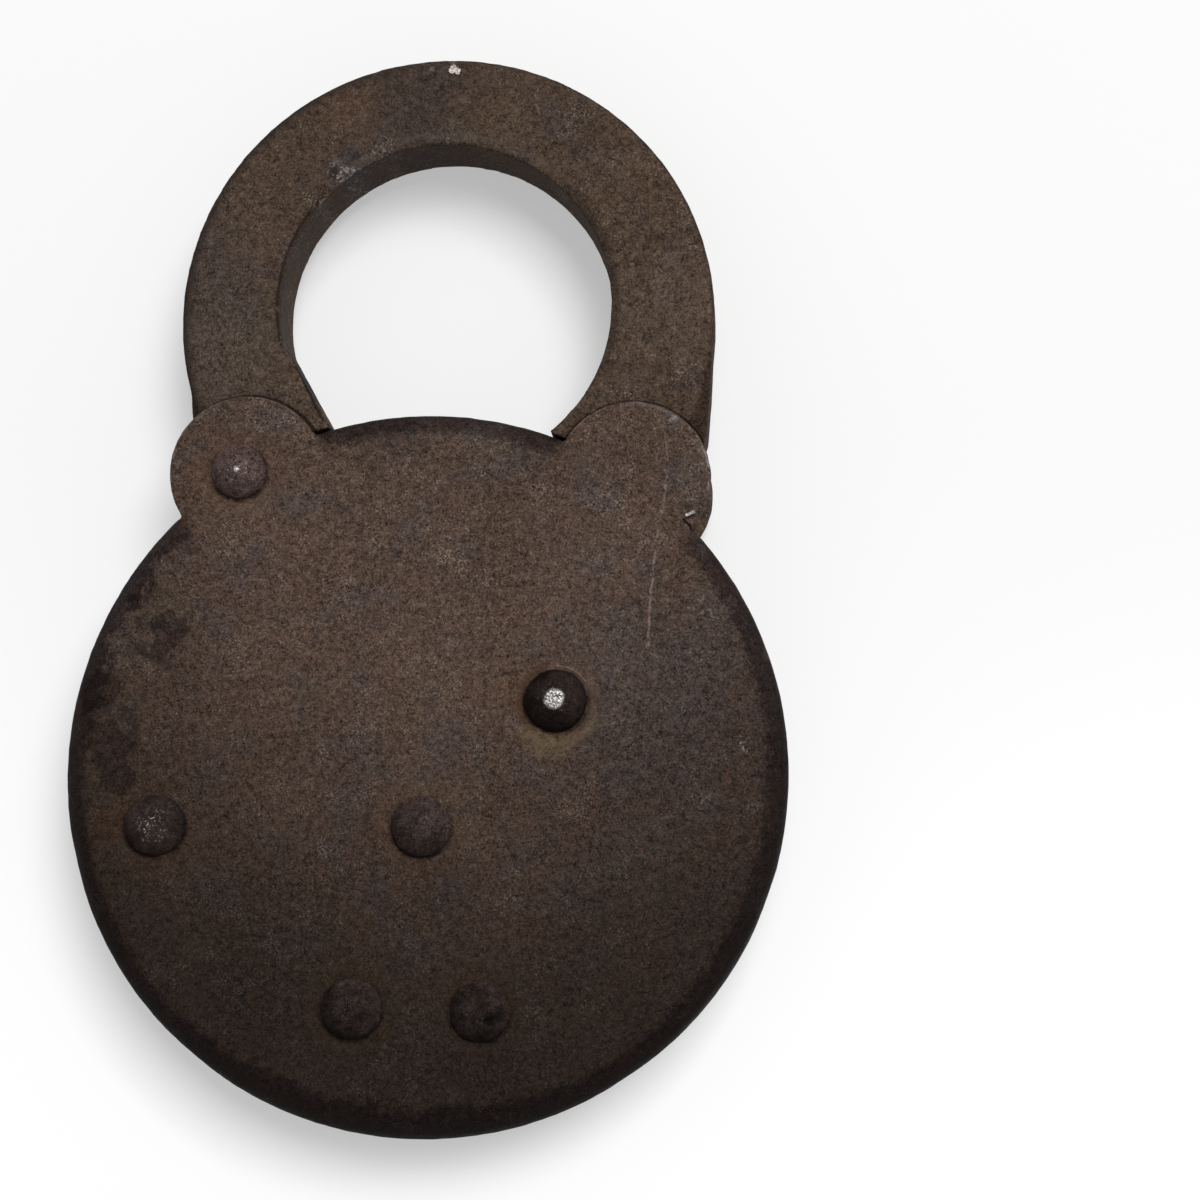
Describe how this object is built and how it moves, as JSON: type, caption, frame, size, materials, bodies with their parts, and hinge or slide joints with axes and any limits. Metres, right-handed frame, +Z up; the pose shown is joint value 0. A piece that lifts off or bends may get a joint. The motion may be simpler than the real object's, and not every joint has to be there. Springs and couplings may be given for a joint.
{
  "type": "padlock",
  "caption": "Closed round lever padlock with a flat pivoting shackle, riveted plates, swinging keyhole cover and a working locking dog, rusted all over",
  "frame": {"origin": "middle of the bounding box, on the surface that the front rivet heads lie on", "axes": "+X across the body, +Y from the body to the crown of the shackle, +Z up through the thickness to the riveted back"},
  "size_m": [0.0634, 0.0962, 0.0151],
  "materials": {
    "body_steel": "rusted and pitted sheet steel, brown and blue-grey",
    "shackle_steel": "rusted and pitted flat steel, olive brown",
    "rivet_steel": "rusted hammered rivets with worn tops",
    "inner_steel": "dull oiled steel with light rust",
    "lever_brass": "tarnished stamped brass",
    "spring_steel": "dark blued spring steel"
  },
  "bodies": {
    "case_body": {"back_plate": "body_steel", "front_plate": "body_steel", "shackle_rivet": "rivet_steel", "spring_rivet": "rivet_steel", "dog_rivet": "rivet_steel", "key_post": "rivet_steel", "lever_rivet_left": "rivet_steel", "lever_rivet_right": "rivet_steel", "shackle_spring": "spring_steel", "washers_left": "inner_steel", "washers_right": "inner_steel", "cover_rivet": "rivet_steel"},
    "shackle_body": {"shackle": "shackle_steel"},
    "dog_body": {"dog": "inner_steel", "fence_pin": "inner_steel", "dog_spring": "spring_steel"},
    "cover_body": {"keyhole_cover": "body_steel"},
    "lever_body_1": {"lever_1": "lever_brass", "lever_spring_1": "spring_steel"},
    "lever_body_2": {"lever_2": "lever_brass", "lever_spring_2": "spring_steel"},
    "lever_body_3": {"lever_3": "lever_brass", "lever_spring_3": "spring_steel"},
    "lever_body_4": {"lever_4": "lever_brass", "lever_spring_4": "spring_steel"},
    "lever_body_5": {"lever_5": "lever_brass", "lever_spring_5": "spring_steel"},
    "lever_body_6": {"lever_6": "lever_brass", "lever_spring_6": "spring_steel"}
  },
  "joints": [
    {"name": "shackle_swing", "type": "hinge", "parent": "case_body", "child": "shackle_body", "pos_m": [-0.0171, 0.00969, 0.0075], "axis": [0, 0, 1], "range_deg": [0, 40]},
    {"name": "dog_turn", "type": "hinge", "parent": "case_body", "child": "dog_body", "pos_m": [0.0114, -0.01006, 0.0075], "axis": [0, 0, 1], "range_deg": [0, 49]},
    {"name": "cover_swing", "type": "hinge", "parent": "case_body", "child": "cover_body", "pos_m": [0, -0.00836, 0.0075], "axis": [0, 0, -1], "range_deg": [-20, 120]},
    {"name": "lever_turn_1", "type": "hinge", "parent": "case_body", "child": "lever_body_1", "pos_m": [-0.00555, -0.03706, 0.0075], "axis": [0, 0, 1], "range_deg": [-3.5, 0]},
    {"name": "lever_turn_2", "type": "hinge", "parent": "case_body", "child": "lever_body_2", "pos_m": [0.00555, -0.03706, 0.0075], "axis": [0, 0, -1], "range_deg": [-3.5, 0]},
    {"name": "lever_turn_3", "type": "hinge", "parent": "case_body", "child": "lever_body_3", "pos_m": [-0.00555, -0.03706, 0.0075], "axis": [0, 0, 1], "range_deg": [-3.5, 0]},
    {"name": "lever_turn_4", "type": "hinge", "parent": "case_body", "child": "lever_body_4", "pos_m": [0.00555, -0.03706, 0.0075], "axis": [0, 0, -1], "range_deg": [-3.5, 0]},
    {"name": "lever_turn_5", "type": "hinge", "parent": "case_body", "child": "lever_body_5", "pos_m": [-0.00555, -0.03706, 0.0075], "axis": [0, 0, 1], "range_deg": [-3.5, 0]},
    {"name": "lever_turn_6", "type": "hinge", "parent": "case_body", "child": "lever_body_6", "pos_m": [0.00555, -0.03706, 0.0075], "axis": [0, 0, -1], "range_deg": [-3.5, 0]}
  ],
  "couplings": [
    {"joint": "dog_turn", "follows": "shackle_swing", "ratio": 1.2}
  ]
}
